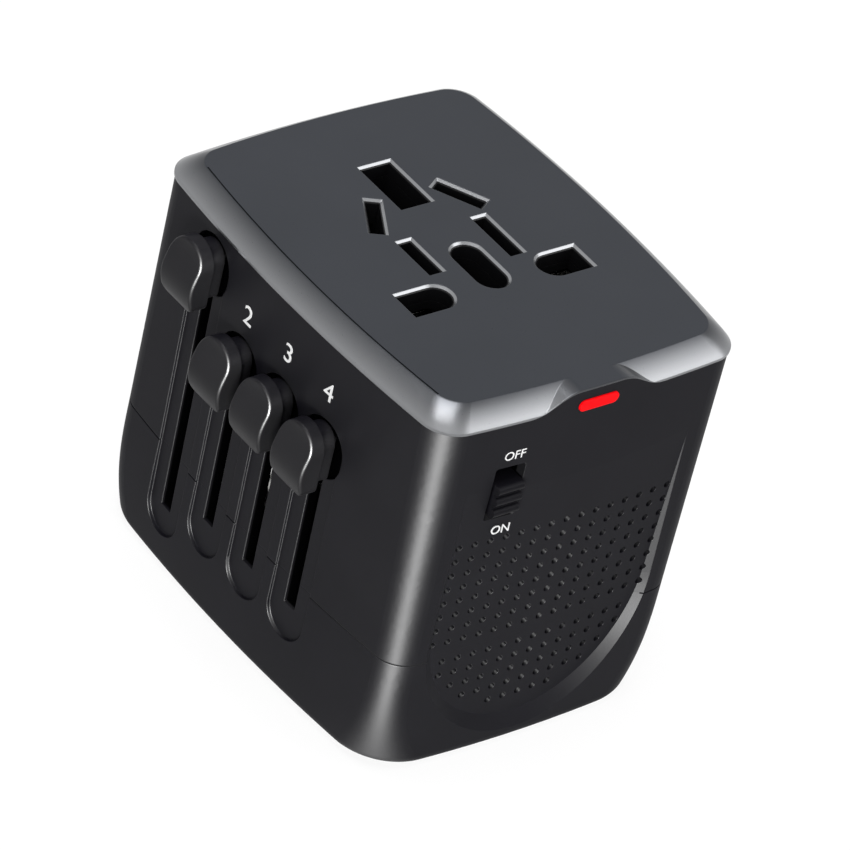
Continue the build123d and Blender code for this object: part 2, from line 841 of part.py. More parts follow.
def square_pin_carrier():
    top = short_rest + carrier_thickness
    front = square_pin_y - square_pin_size[1] / 2 - carrier_margin
    back = square_pin_y + square_pin_size[1] / 2 + carrier_margin
    right = hook_inner + hook_width
    earth_y = square_pin_y + earth_pin_offset
    earth_x = earth_pin_size[0] / 2 + carrier_margin
    earth_reach = earth_pin_size[1] / 2 + seat_clearance
    carrier = block(-carrier_left, right, front, back, short_rest, top)
    arm_back = track_y(3) + stem_width / 2 + riser_margin
    carrier += block(-carrier_left, riser_width - carrier_left, front, arm_back, short_rest, top)
    carrier += block(hook_inner, right, front, earth_y + hook_width / 2, short_rest, top)
    carrier += block(0, right, earth_y - hook_width / 2, earth_y + hook_width / 2, short_rest, top)
    carrier += block(-earth_x, earth_x, earth_y - earth_reach, earth_y + earth_reach, short_rest, top)
    return carrier + riser(3, short_rest) - seats("square", short_rest)


def round_pin(index):
    """A round pin through its boss, with a flat tail at its top."""
    place = pin_places("round")[index]
    top = long_rest + flange_thickness
    body = raised(pin_face(place), pin_tip_recess, top)
    body = fillet(body.faces().sort_by(Axis.Z)[0].edges(), round_pin_tip)
    x = place[1]
    return body + block(x - tail_width / 2, x + tail_width / 2, bus_back + pin_clearance, round_pin_y, top,
                        top + tail_thickness)


def blade(place, length):
    """A pin from its tip at rest up to the bottom of its seat, with a bevelled tip."""
    body = raised(pin_face(place), short_travel - length, short_rest + pin_seat_depth)
    return chamfer(body.faces().sort_by(Axis.Z)[0].edges(), pin_tip_chamfer)


def sleeved_pin(index):
    """A rectangular pin that is thinner where its insulating sleeve goes."""
    place = pin_places("square")[index]
    ring = pin_face(place, sleeve_thickness) - pin_face(place, -sleeve_thickness)
    return blade(place, square_pin_length) - raised(ring, short_rest - sleeve_length, short_rest)


def sleeves():
    rings = [pin_face(place) - pin_face(place, -sleeve_thickness) for place in pin_places("square")[:2]]
    return Compound(children=[raised(ring, short_rest - sleeve_length, short_rest) for ring in rings])


# Switch and lamp
def mode_knob():
    """The switch's cap with level ribs, on a foot that the switch's body holds."""
    width, height = mode_knob_size
    face_y = end_bow * (switch_x / seam_half_width) ** 2 - seam_half_depth - mode_knob_proud
    knob = block(switch_x - width / 2, switch_x + width / 2, face_y, mode_foot_front,
                 mode_knob_z - height / 2, mode_knob_z + height / 2)
    pitch = (height - 2 * mode_rib_radius) / (mode_rib_count - 1)
    for rib in range(mode_rib_count):
        rib_z = mode_knob_z - height / 2 + mode_rib_radius + rib * pitch
        knob += Pos(switch_x, face_y, rib_z) * Rot(0, 90, 0) * Cylinder(mode_rib_radius, width)
    half_x, half_z = width / 2 + mode_foot_margin, height / 2 + mode_foot_margin
    return knob + block(switch_x - half_x, switch_x + half_x, mode_foot_front,
                        mode_foot_front + mode_foot_thickness, mode_knob_z - half_z, mode_knob_z + half_z)


def mode_switch():
    """The switch's body: a box behind the slot with a pocket that the cap's foot slides in."""
    width, height = switch_body_size
    body = block(switch_x - width / 2, switch_x + width / 2, switch_front, board_front, switch_z - height / 2,
                 switch_z + height / 2)
    half_x = mode_knob_size[0] / 2 + mode_foot_margin + slide_clearance
    half_z = mode_knob_size[1] / 2 + mode_foot_margin + slide_clearance
    return body - block(switch_x - half_x, switch_x + half_x, switch_front - overrun,
                        mode_foot_front + mode_foot_thickness + slide_clearance, mode_knob_z - half_z,
                        mode_knob_z + half_z + mode_travel)


def terminals(extra):
    """The switch's legs, which go through the board."""
    half_x, half_z = terminal_size[0] / 2 + extra, terminal_size[1] / 2 + extra
    legs = []
    for index in range(terminal_count):
        z = switch_z + (index - (terminal_count - 1) / 2) * terminal_pitch
        legs.append(block(switch_x - half_x, switch_x + half_x, board_front, board_back + terminal_proud,
                          z - half_z, z + half_z))
    return legs


def lamp_window():
    """The red light pipe: an oblong window, and a thinner stub behind it."""
    z = body_height - light_pipe_drop
    return lamp_pill(0, -shell_half_depth - lamp_proud, tab_back) + block(
        -light_pipe_width / 2, light_pipe_width / 2, tab_back, tab_back + light_pipe_length,
        z - light_pipe_height / 2, z + light_pipe_height / 2)


def indicator_led():
    """A lamp that stands off the board, against the light pipe."""
    top = body_height - light_pipe_drop + light_pipe_height / 2
    front = tab_back + light_pipe_length
    radius = led_height / 2
    body = block(-led_width / 2, led_width / 2, front + radius, board_front, top - led_height, top)
    return body + facing(radius, 0, top - radius, front, board_front)


# Converter electronics
def converter_board():
    board = block(-board_half_width, board_half_width, board_front, board_back, floor, board_top)
    for x, z in board_screw_places:
        board -= facing(board_screw_radius + hole_clearance, x, z, board_front, board_back)
    return board - terminals(hole_clearance)


def triac():
    width, depth, height = triac_size
    front = board_front - depth
    top = triac_bottom + height
    left, right = sink_x - width / 2, sink_x + width / 2
    body = block(left, right, front, board_front, triac_bottom, top)
    metal = block(left, right, front, front + triac_tab_thickness, top, top + triac_tab_height)
    return body + metal - facing(triac_hole_radius, sink_x, top + triac_tab_height / 2, front,
                                 front + triac_tab_thickness)


def heat_sink():
    width, depth, height = sink_size
    back = board_front - triac_size[1]
    front = back - depth
    top = sink_bottom + height
    sink = block(sink_x - width / 2, sink_x + width / 2, front, back, sink_bottom, top)
    step = (width - sink_fin_thickness) / (sink_fin_count - 1)
    for fin in range(sink_fin_count):
        x = sink_x - width / 2 + fin * step
        sink += block(x, x + sink_fin_thickness, front - sink_fin_depth, front, sink_bottom, top)
    return sink


def choke():
    return Pos(choke_x, board_front - choke_minor, choke_z) * Rot(90, 0, 0) * Torus(choke_major, choke_minor)


def capacitor():
    width, depth, height = capacitor_size
    return block(capacitor_x - width / 2, capacitor_x + width / 2, board_front - depth, board_front,
                 capacitor_bottom, capacitor_bottom + height)


def fuse_place(x):
    return Pos(x, board_front - fuse_lift - clip_thickness - fuse_radius, fuse_z) * Rot(0, 90, 0)


def fuse():
    return fuse_place(0) * Cylinder(fuse_radius, fuse_length)


def fuse_clips():
    """Two open clips that hold the fuse's ends on the board."""
    outer = fuse_radius + clip_thickness
    y = board_front - fuse_lift - outer
    half, foot_half = clip_length / 2, fuse_radius / 2
    low, high = fuse_z - outer, fuse_z + outer
    clips = []
    for side in (-1, 1):
        x = side * (fuse_length - clip_length) / 2
        ring = fuse_place(x) * (Cylinder(outer, clip_length) - Cylinder(fuse_radius, clip_length))
        gap = block(x - clip_length, x + clip_length, y - 2 * outer, y - foot_half, low, high)
        foot_front = y + fuse_radius + clip_thickness / 2
        foot = block(x - half, x + half, foot_front, board_front, fuse_z - foot_half, fuse_z + foot_half)
        clips.append(ring - gap + foot)
    return Compound(children=clips)


# Screws
def case_screws():
    """Four screws from the underside into the posts of the upper housing."""
    screws = []
    head_z = screw_head_seat - screw_head_height
    for sx, sy in corners():
        x, y = sx * screw_x, sy * screw_y
        screw = upright(screw_radius, x, y, screw_head_seat, seam_height + screw_reach)
        screw += upright(screw_head_radius, x, y, head_z, screw_head_seat)
        for turn in (0, 90):
            bit = Box(screw_head_radius * 4 / 3, screw_drive_width, screw_head_height)
            screw -= Pos(x, y, head_z) * Rot(0, 0, turn) * bit
        screws.append(screw)
    return Compound(children=screws)


def board_screws():
    screws = []
    for x, z in board_screw_places:
        shank = facing(board_screw_radius, x, z, board_front - board_screw_depth + hole_clearance, board_back)
        screws.append(shank + facing(board_screw_head_radius, x, z, board_back, board_back
                                     + board_screw_head_height))
    return Compound(children=screws)


def parts():
    square = pin_places("square")
    return {
        "top_cover": top_cover(),
        "main_shell": main_shell(),
        "lower_shell": lower_shell(),
        "socket_block": socket_block(),
        "live_contact": contact(-1),
        "neutral_contact": contact(1),
        "lamp_window": lamp_window(),
        "indicator_led": indicator_led(),
        "mode_knob": mode_knob(),
        "mode_switch": mode_switch(),
        "switch_terminals": Compound(children=terminals(0)),
        "live_busbar": busbar(-1),
        "neutral_busbar": busbar(1),
        "guide_plate": guide_plate(),
        "converter_board": converter_board(),
        "triac": triac(),
        "heat_sink": heat_sink(),
        "choke": choke(),
        "capacitor": capacitor(),
        "fuse": fuse(),
        "fuse_clips": fuse_clips(),
        "case_screws": case_screws(),
        "board_screws": board_screws(),
        "round_pin_knob": finger_pad(0),
        "slant_pin_knob": finger_pad(1),
        "flat_pin_knob": finger_pad(2),
        "square_pin_knob": finger_pad(3),
        "round_pin_carrier": round_pin_carrier(),
        "slant_pin_carrier": slant_pin_carrier(),
        "flat_pin_carrier": flat_pin_carrier(),
        "square_pin_carrier": square_pin_carrier(),
        "round_pin_live": round_pin(0),
        "round_pin_neutral": round_pin(1),
        "flat_pin_live": blade(pin_places("flat")[0], flat_pin_length),
        "flat_pin_neutral": blade(pin_places("flat")[1], flat_pin_length),
        "slant_pin_live": blade(pin_places("slant")[0], slant_pin_length),
        "slant_pin_neutral": blade(pin_places("slant")[1], slant_pin_length),
        "square_pin_live": sleeved_pin(0),
        "square_pin_neutral": sleeved_pin(1),
        "square_pin_earth": blade(square[2], earth_pin_length),
        "square_pin_sleeves": sleeves(),
    }


os.makedirs("parts", exist_ok=True)
for name, piece in parts().items():
    export_step(piece, f"parts/{name}.step")
    print(name, round(piece.volume, 1))
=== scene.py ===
import bpy
from mathutils import Matrix, Vector


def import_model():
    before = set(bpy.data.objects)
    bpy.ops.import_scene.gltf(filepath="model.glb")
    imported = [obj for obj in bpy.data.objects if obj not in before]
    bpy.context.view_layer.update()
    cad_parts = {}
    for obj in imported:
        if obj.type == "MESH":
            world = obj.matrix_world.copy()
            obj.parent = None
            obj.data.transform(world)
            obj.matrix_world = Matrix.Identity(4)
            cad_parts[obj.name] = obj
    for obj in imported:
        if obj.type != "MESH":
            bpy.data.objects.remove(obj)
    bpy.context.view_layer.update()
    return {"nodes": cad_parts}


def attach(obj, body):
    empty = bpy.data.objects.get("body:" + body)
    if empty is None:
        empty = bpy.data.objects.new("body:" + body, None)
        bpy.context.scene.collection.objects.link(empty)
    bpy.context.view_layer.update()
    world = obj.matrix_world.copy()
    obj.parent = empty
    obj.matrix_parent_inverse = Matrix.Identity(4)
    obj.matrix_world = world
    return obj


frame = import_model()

MM = 0.001
NODES = frame["nodes"]

# Body sizes that the printed marks and the painted shade in the openings follow, in millimetres
BODY_HEIGHT = 58.6
SEAM_HEIGHT = 18.2
SHELL_TOP = 55.75
SEAM_HALF_WIDTH = 24.9
SHELL_HALF_WIDTH = 25.95
SEAM_HALF_DEPTH = 32.0
SHELL_HALF_DEPTH = 31.75
SIDE_LEAN = (SHELL_HALF_WIDTH - SEAM_HALF_WIDTH) / (SHELL_TOP - SEAM_HEIGHT)
RECESS_DEPTH = 1.35
SIDE_BOW = 2.0
END_BOW = 1.3

# Painted shade in the housing's slots, pockets and vents: depths or heights over which it fades,
# and half spans
SLOT_SHADE_FADE = (0.65 * MM, 0.9 * MM)
VENT_SHADE_FADE = (0.2 * MM, 0.35 * MM)
FOOT_SHADE_FADE = (0.8 * MM, 1.2 * MM)
SLOTS_HALF_SPAN = 21.5 * MM
VENTS_HALF_SPAN = 18.0 * MM
EDGE_BY_SIDE = 0.18 * MM
EDGE_BY_VENTS = 0.04 * MM

# Zones of the cover, with painted shade towards the bezel's crest and on the opening walls: heights
# over which they fade, and the half spans of the socket's field
BEZEL_SHADE_FADE = (56.4 * MM, 58.5 * MM)
PLATE_FADE = (58.5 * MM, 58.59 * MM)
OPENING_TOP = (BODY_HEIGHT - 0.34) * MM
SOCKET_HALF_WIDTH = 19.0 * MM
SOCKET_HALF_DEPTH = 22.0 * MM

# Grain of the mouldings: sizes in millimetres, and shares of the roughness
NOISE_ROUGHNESS = 0.55
PATCH_SIZE, PATCH_SHARE = 9.0, 0.06
GRAIN_SIZE, GRAIN_SHARE = 0.25, 0.08
GRAIN_STRENGTH, GRAIN_DEPTH = 0.25, 0.02
METAL_GRAIN_SIZE = 0.4
METAL_SPREAD = 0.06

# Printed marks: text, place along the face and depth below the top, in millimetres
TRACK_NUMBERS = (("2", 7.4, 10.3), ("3", -1.6, 9.8), ("4", -10.2, 9.8))
TRACK_NUMBER_SIZE = 4.0
SWITCH_WORDS = (("OFF", -11.9, 8.2), ("ON", -11.3, 20.3))
SWITCH_WORD_SIZE = 1.9
PRINT_THICKNESS = 0.05
PRINT_SWELL = 0.005

# Floor, just below the base so that the two faces stay apart, and its dark part under the base
FLOOR_HALF_SIZE = 3.0
FLOOR_LEVEL = -0.1 * MM
FLOOR_WHITE_SHARE = 0.88
UNDER_HALF_WIDTH = 17.0 * MM
UNDER_HALF_DEPTH = 26.0 * MM

# Light
WORLD_FILL = 0.2
LAMP_AIM = (0, 0, 0.03)
GLINT_NODES = ("main_shell", "lower_shell",
               "round_pin_knob", "slant_pin_knob", "flat_pin_knob", "square_pin_knob")

# Camera solved from the photo: lens and sensor in millimetres, place, and rows of its rotation
CAMERA_LENS = 309.03
CAMERA_SENSOR = 36.0
CAMERA_AT = (-0.541416, -0.546175, 0.593340)
CAMERA_TURN = ((0.788383, 0.233890, -0.568988),
               (-0.583507, 0.577275, -0.571204),
               (0.194864, 0.782336, 0.591590))


# Node tools
def empty_tree(owner, kind):
    """The emptied node tree of a material or world, and a new output node in it."""
    owner.use_nodes = True
    tree = owner.node_tree
    tree.nodes.clear()
    return tree, tree.nodes.new(kind)


def new_material(name):
    """A material, its node tree and its shader."""
    mat = bpy.data.materials.new(name)
    tree, out = empty_tree(mat, "ShaderNodeOutputMaterial")
    shader = tree.nodes.new("ShaderNodeBsdfPrincipled")
    tree.links.new(shader.outputs["BSDF"], out.inputs["Surface"])
    return mat, tree, shader


def feed(tree, target, value):
    """Links a socket to an input, or sets a plain value on it."""
    if isinstance(value, bpy.types.NodeSocket):
        tree.links.new(value, target)
    else:
        target.default_value = value


def math_node(tree, kind, a, b=0.0, clamp=False):
    node = tree.nodes.new("ShaderNodeMath")
    node.operation = kind
    node.use_clamp = clamp
    feed(tree, node.inputs[0], a)
    feed(tree, node.inputs[1], b)
    return node.outputs[0]


def mix_colour(tree, share, a, b):
    """A blend from a to b, each a socket or plain red, green and blue."""
    node = tree.nodes.new("ShaderNodeMix")
    node.data_type = "RGBA"
    feed(tree, node.inputs["Factor"], share)
    for index, colour in ((6, a), (7, b)):
        feed(tree, node.inputs[index], (*colour, 1.0) if isinstance(colour, tuple) else colour)
    return node.outputs[2]


def mix_shaders(tree, share, a, b, out):
    """Sends a blend from shader node a to shader node b to the output node."""
    mix = tree.nodes.new("ShaderNodeMixShader")
    feed(tree, mix.inputs[0], share)
    tree.links.new(a.outputs[0], mix.inputs[1])
    tree.links.new(b.outputs[0], mix.inputs[2])
    tree.links.new(mix.outputs[0], out.inputs["Surface"])


def noise(tree, size_mm, detail):
    """Noise whose features are about size_mm wide."""
    coord = tree.nodes.new("ShaderNodeTexCoord")
    node = tree.nodes.new("ShaderNodeTexNoise")
    node.inputs["Scale"].default_value = 1.0 / (size_mm * MM)
    node.inputs["Detail"].default_value = detail
    node.inputs["Roughness"].default_value = NOISE_ROUGHNESS
    tree.links.new(coord.outputs["Object"], node.inputs["Vector"])
    return node.outputs["Fac"]


def ramp(tree, value, low, high, out_low=0.0, out_high=1.0):
    """A value taken from the range low to high into the range out_low to out_high."""
    node = tree.nodes.new("ShaderNodeMapRange")
    feed(tree, node.inputs["Value"], value)
    for key, number in (("From Min", low), ("From Max", high),
                        ("To Min", out_low), ("To Max", out_high)):
        node.inputs[key].default_value = number
    return node.outputs["Result"]


def place(tree):
    """The surface point's X, Y and Z, in metres."""
    coord = tree.nodes.new("ShaderNodeTexCoord")
    split = tree.nodes.new("ShaderNodeSeparateXYZ")
    tree.links.new(coord.outputs["Object"], split.inputs[0])
    return tuple(split.outputs)


def bump(tree, shader, height, strength, distance_mm, edge=0.0):
    """Fine relief on the shader's normal, over edges softened by a radius in metres."""
    node = tree.nodes.new("ShaderNodeBump")
    node.inputs["Strength"].default_value = strength
    node.inputs["Distance"].default_value = distance_mm * MM
    feed(tree, node.inputs["Height"], height)
    if edge:
        bevel = tree.nodes.new("ShaderNodeBevel")
        bevel.samples = 6
        feed(tree, bevel.inputs["Radius"], edge)
        tree.links.new(bevel.outputs["Normal"], node.inputs["Normal"])
    tree.links.new(node.outputs["Normal"], shader.inputs["Normal"])


def stretch_upright(tree, shader, amount):
    """Draws the shader's highlights out along the object's height."""
    tangent = tree.nodes.new("ShaderNodeTangent")
    tangent.direction_type = "RADIAL"
    tangent.axis = "Z"
    tree.links.new(tangent.outputs["Tangent"], shader.inputs["Tangent"])
    shader.inputs["Anisotropic"].default_value = amount
    shader.inputs["Anisotropic Rotation"].default_value = 0.25


def uneven_roughness(tree, shader, fine, patch, least):
    """Roughness from least upwards, varied by the grain and by wider patches."""
    fine = math_node(tree, "MULTIPLY", fine, GRAIN_SHARE)
    patch = math_node(tree, "MULTIPLY", patch, PATCH_SHARE)
    both = math_node(tree, "ADD", fine, patch)
    feed(tree, shader.inputs["Roughness"], math_node(tree, "ADD", both, least))


# Materials
def plastic(name, colour, rough, edge_mm=0.12, grain_mm=GRAIN_SIZE, spec=0.5):
    """Moulded plastic: fine grain, slight handling marks and soft edges."""
    mat, tree, shader = new_material(name)
    patch = noise(tree, PATCH_SIZE, 2.0)
    dark = tuple(c * 0.82 for c in colour)
    light = tuple(c * 1.18 for c in colour)
    feed(tree, shader.inputs["Base Color"], mix_colour(tree, patch, dark, light))
    fine = noise(tree, grain_mm, 4.0)
    middle = (GRAIN_SHARE + PATCH_SHARE) / 2
    uneven_roughness(tree, shader, fine, patch, rough - middle)
    shader.inputs["Specular IOR Level"].default_value = spec
    bump(tree, shader, fine, GRAIN_STRENGTH, GRAIN_DEPTH, edge_mm * MM)
    return mat


def metal(name, colour, rough, edge_mm=0.08):
    """Bare or plated metal with slightly uneven tone and polish."""
    mat, tree, shader = new_material(name)
    patch = noise(tree, 3.0, 3.0)
    dark = tuple(c * 0.85 for c in colour)
    feed(tree, shader.inputs["Base Color"], mix_colour(tree, patch, dark, colour))
    shader.inputs["Metallic"].default_value = 1.0
    fine = noise(tree, METAL_GRAIN_SIZE, 3.0)
    polish = ramp(tree, fine, 0.3, 0.7, rough - METAL_SPREAD, rough + METAL_SPREAD)
    feed(tree, shader.inputs["Roughness"], polish)
    bump(tree, shader, fine, 0.2, 0.01, edge_mm * MM)
    return mat


def bow_node(tree, along, bow, half_span):
    """How far a bowed wall falls back at a distance along it."""
    square = math_node(tree, "MULTIPLY", along, along)
    return math_node(tree, "MULTIPLY", square, bow / (half_span ** 2 * MM))


def housing_material():
    """Satin black outside, with painted shade inside the slots, pockets and vents: dead black and
    without reflection.
    """
    mat, tree, shader = new_material("housing_black")
    x, y, z = place(tree)
    off_x = math_node(tree, "ABSOLUTE", x)
    off_y = math_node(tree, "ABSOLUTE", y)
    patch = noise(tree, PATCH_SIZE, 2.0)
    fine = noise(tree, GRAIN_SIZE, 4.0)

    # Depth below the leaning, bowed side walls, for the painted shade in the slots and pockets
    rise = math_node(tree, "SUBTRACT", z, SEAM_HEIGHT * MM)
    side = math_node(tree, "ADD", math_node(tree, "MULTIPLY", rise, SIDE_LEAN),
                     SEAM_HALF_WIDTH * MM)
    side = math_node(tree, "SUBTRACT", side, bow_node(tree, y, SIDE_BOW, SEAM_HALF_DEPTH))
    side_depth = math_node(tree, "SUBTRACT", side, off_x)
    by_side = math_node(tree, "LESS_THAN", off_y, SLOTS_HALF_SPAN)
    side_painted_shade = math_node(tree, "MULTIPLY", by_side, ramp(tree, side_depth, *SLOT_SHADE_FADE))

    # Depth below the floor of the recess in the bowed end walls, for the painted shade in the vents
    end_depth = math_node(tree, "SUBTRACT", SEAM_HALF_DEPTH * MM, off_y)
    end_depth = math_node(tree, "SUBTRACT", end_depth,
                          bow_node(tree, x, END_BOW, SEAM_HALF_WIDTH))
    end_depth = math_node(tree, "SUBTRACT", end_depth, RECESS_DEPTH * MM)
    by_end = math_node(tree, "LESS_THAN", off_x, VENTS_HALF_SPAN)
    end_painted_shade = math_node(tree, "MULTIPLY", by_end, ramp(tree, end_depth, *VENT_SHADE_FADE))

    above_foot = ramp(tree, z, *FOOT_SHADE_FADE)
    # Painted shade: the deeper a point lies in the openings, the nearer it turns to dead black,
    # above the foot only
    painted_shade = math_node(tree, "MAXIMUM", side_painted_shade, end_painted_shade)
    painted_shade = math_node(tree, "MULTIPLY", painted_shade, above_foot)
    skin = mix_colour(tree, patch, (0.0034, 0.0032, 0.0050), (0.0048, 0.0046, 0.0070))
    colour = mix_colour(tree, painted_shade, skin, (0.001, 0.001, 0.0012))
    feed(tree, shader.inputs["Base Color"], colour)
    uneven_roughness(tree, shader, fine, patch, 0.43)
    # The painted shade also takes the reflection away deep in the openings
    feed(tree, shader.inputs["Specular IOR Level"], ramp(tree, painted_shade, 0.0, 1.0, 0.05, 0.0))
    edge = ramp(tree, by_end, 0.0, 1.0, EDGE_BY_SIDE, EDGE_BY_VENTS)
    bump(tree, shader, fine, GRAIN_STRENGTH, GRAIN_DEPTH, edge)
    stretch_upright(tree, shader, 0.6)
    return mat


def cover_material():
    """Dark satin plate, lighter metallic bezel with painted shade darkening its crest, bright
    opening lips, and painted shade that makes the opening walls black.
    """
    mat, tree, shader = new_material("cover_gunmetal")
    x, y, z = place(tree)
    fine = noise(tree, 0.18, 4.0)
    patch = noise(tree, 14.0, 2.0)

    # Shares of the zones
    off_side = math_node(tree, "GREATER_THAN", math_node(tree, "ABSOLUTE", x), SOCKET_HALF_WIDTH)
    off_end = math_node(tree, "GREATER_THAN", math_node(tree, "ABSOLUTE", y), SOCKET_HALF_DEPTH)
    outside = math_node(tree, "MAXIMUM", off_side, off_end)
    inside = math_node(tree, "SUBTRACT", 1.0, outside)
    below_plate = ramp(tree, z, *PLATE_FADE, 1.0, 0.0)
    sloped = math_node(tree, "MULTIPLY", outside, below_plate)
    lip = math_node(tree, "MULTIPLY", inside, below_plate)
    # Painted shade on the opening walls below their top: near black and not metallic
    painted_shade = math_node(tree, "MULTIPLY", inside, math_node(tree, "LESS_THAN", z, OPENING_TOP))

    plate = mix_colour(tree, patch, (0.014, 0.016, 0.020), (0.018, 0.020, 0.025))
    # Painted shade: the bezel turns darker towards its crest, lighter at its foot
    painted_shade_crest = mix_colour(tree, patch, (0.050, 0.052, 0.057), (0.060, 0.062, 0.067))
    foot = mix_colour(tree, patch, (0.19, 0.194, 0.202), (0.22, 0.224, 0.232))
    bezel = mix_colour(tree, ramp(tree, z, *BEZEL_SHADE_FADE, 1.0, 0.0), painted_shade_crest, foot)
    colour = mix_colour(tree, sloped, plate, bezel)
    colour = mix_colour(tree, lip, colour, (0.26, 0.265, 0.275))
    colour = mix_colour(tree, painted_shade, colour, (0.004, 0.004, 0.0045))
    feed(tree, shader.inputs["Base Color"], colour)

    bright = math_node(tree, "MAXIMUM", math_node(tree, "MULTIPLY", sloped, 0.85), lip)
    # The painted shade on the opening walls also takes their metal away
    bright = math_node(tree, "MULTIPLY", bright, math_node(tree, "SUBTRACT", 1.0, painted_shade))
    feed(tree, shader.inputs["Metallic"], bright)
    rough = math_node(tree, "ADD", math_node(tree, "MULTIPLY", fine, 0.03), 0.265)
    feed(tree, shader.inputs["Roughness"], rough)
    shader.inputs["Specular IOR Level"].default_value = 0.17
    bump(tree, shader, fine, 0.06, 0.008, 0.14 * MM)
    return mat


def lamp_material():
    """Clear red moulding with a weak glow."""
    mat, tree, shader = new_material("lamp_red")
    fine = noise(tree, 0.5, 2.0)
    colour = mix_colour(tree, fine, (0.55, 0.0, 0.002), (0.65, 0.001, 0.004))
    feed(tree, shader.inputs["Base Color"], colour)
    shader.inputs["Roughness"].default_value = 0.35
    shader.inputs["Specular IOR Level"].default_value = 0.03
    shader.inputs["Emission Color"].default_value = (1.0, 0.0, 0.003, 1.0)
    shader.inputs["Emission Strength"].default_value = 0.25
    bump(tree, shader, fine, 0.1, 0.02, 0.2 * MM)
    return mat


def ink_material():
    mat, tree, shader = new_material("print_white")
    fine = noise(tree, 0.12, 3.0)
    colour = mix_colour(tree, fine, (0.62, 0.62, 0.62), (0.78, 0.78, 0.78))
    feed(tree, shader.inputs["Base Color"], colour)
    shader.inputs["Roughness"].default_value = 0.55
    bump(tree, shader, fine, 0.2, 0.01)
    return mat


def board_material():
    """Green solder mask with faint tracks."""
    mat, tree, shader = new_material("board_green")
    wave = tree.nodes.new("ShaderNodeTexWave")
    coord = tree.nodes.new("ShaderNodeTexCoord")
    wave.inputs["Scale"].default_value = 260.0
    wave.inputs["Distortion"].default_value = 6.0
    tree.links.new(coord.outputs["Object"], wave.inputs["Vector"])
    lines = ramp(tree, wave.outputs["Fac"], 0.55, 0.7)
    colour = mix_colour(tree, lines, (0.01, 0.075, 0.03), (0.03, 0.16, 0.07))
    feed(tree, shader.inputs["Base Color"], colour)
    shader.inputs["Roughness"].default_value = 0.35
    bump(tree, shader, lines, 0.3, 0.03)
    return mat


def glass_material():
    mat, tree, shader = new_material("fuse_glass")
    fine = noise(tree, 2.0, 2.0)
    colour = mix_colour(tree, fine, (0.75, 0.78, 0.77), (0.85, 0.88, 0.87))
    feed(tree, shader.inputs["Base Color"], colour)
    shader.inputs["Roughness"].default_value = 0.12
    shader.inputs["Transmission Weight"].default_value = 0.7
    return mat


def dress():
    """Gives every CAD node its material."""
    housing = housing_material()
    knob = plastic("knob_black", (0.0042, 0.0040, 0.0056), 0.4, edge_mm=0.25, spec=0.065)
    inner = plastic("inner_black", (0.004, 0.004, 0.0045), 0.5, spec=0.05)
    component = plastic("component_black", (0.014, 0.014, 0.015), 0.4, edge_mm=0.1, grain_mm=0.4)
    sleeve = plastic("sleeve_black", (0.018, 0.018, 0.019), 0.38)
    nickel = metal("nickel_plate", (0.42, 0.41, 0.39), 0.25, edge_mm=0.05)
    steel = metal("zinc_steel", (0.45, 0.45, 0.46), 0.32)
    sink = metal("sink_aluminium", (0.5, 0.5, 0.52), 0.4)
    copper = metal("winding_copper", (0.55, 0.26, 0.12), 0.35)
    film = plastic("capacitor_yellow", (0.55, 0.32, 0.03), 0.4)
    table = {
        cover_material(): ["top_cover"],
        housing: ["main_shell", "lower_shell"],
        knob: ["round_pin_knob", "flat_pin_knob", "slant_pin_knob", "square_pin_knob",
               "mode_knob"],
        lamp_material(): ["lamp_window", "indicator_led"],
        inner: ["socket_block", "guide_plate", "round_pin_carrier", "slant_pin_carrier",
                "flat_pin_carrier", "square_pin_carrier", "mode_switch"],
        sleeve: ["square_pin_sleeves"],
        component: ["triac"],
        copper: ["choke"],
        film: ["capacitor"],
        nickel: ["round_pin_live", "round_pin_neutral", "flat_pin_live", "flat_pin_neutral",
                 "slant_pin_live", "slant_pin_neutral", "square_pin_live",
                 "square_pin_neutral", "square_pin_earth", "live_contact",
                 "neutral_contact", "live_busbar", "neutral_busbar", "switch_terminals",
                 "fuse_clips"],
        board_material(): ["converter_board"],
        sink: ["heat_sink"],
        glass_material(): ["fuse"],
        steel: ["case_screws", "board_screws"],
    }
    for mat, names in table.items():
        for name in names:
            slots = NODES[name].data.materials
            slots.clear()
            slots.append(mat)


# Printed marks
def side_x(y, z):
    """Half width of the housing at a point of its side wall, in millimetres."""
    lean = SIDE_LEAN * (z - SEAM_HEIGHT)
    return SEAM_HALF_WIDTH + lean - SIDE_BOW * (y / SEAM_HALF_DEPTH) ** 2


def front_y(x, z):
    """Half depth of the housing at a point of its end wall, in millimetres."""
    share = (z - SEAM_HEIGHT) / (SHELL_TOP - SEAM_HEIGHT)
    lean = (SHELL_HALF_DEPTH - SEAM_HALF_DEPTH) * share
    return SEAM_HALF_DEPTH + lean - END_BOW * (x / SEAM_HALF_WIDTH) ** 2


def mark(name, text, size, at, right, up, ink):
    """Raised text centred on a point of a face, its baseline along right and its top towards up."""
    curve = bpy.data.curves.new(name, "FONT")
    curve.body = text
    curve.size = size * MM
    curve.extrude = PRINT_THICKNESS * MM
    curve.align_x = "CENTER"
    curve.align_y = "CENTER"
    curve.offset = PRINT_SWELL * MM
    made = bpy.data.objects.new(name, curve)
    bpy.context.scene.collection.objects.link(made)
    right, up = Vector(right).normalized(), Vector(up).normalized()
    out = right.cross(up).normalized()
    up = out.cross(right)
    turn = Matrix((right, up, out)).transposed()
    made.matrix_world = Matrix.Translation(Vector(at) * MM) @ turn.to_4x4()
    bpy.context.view_layer.update()
    shaped = made.evaluated_get(bpy.context.evaluated_depsgraph_get())
    mesh = bpy.data.meshes.new_from_object(shaped)
    mesh.transform(made.matrix_world)
    piece = bpy.data.objects.new(name + "_print", mesh)
    bpy.context.scene.collection.objects.link(piece)
    bpy.data.objects.remove(made)
    mesh.materials.clear()
    mesh.materials.append(ink)
    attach(piece, "housing")


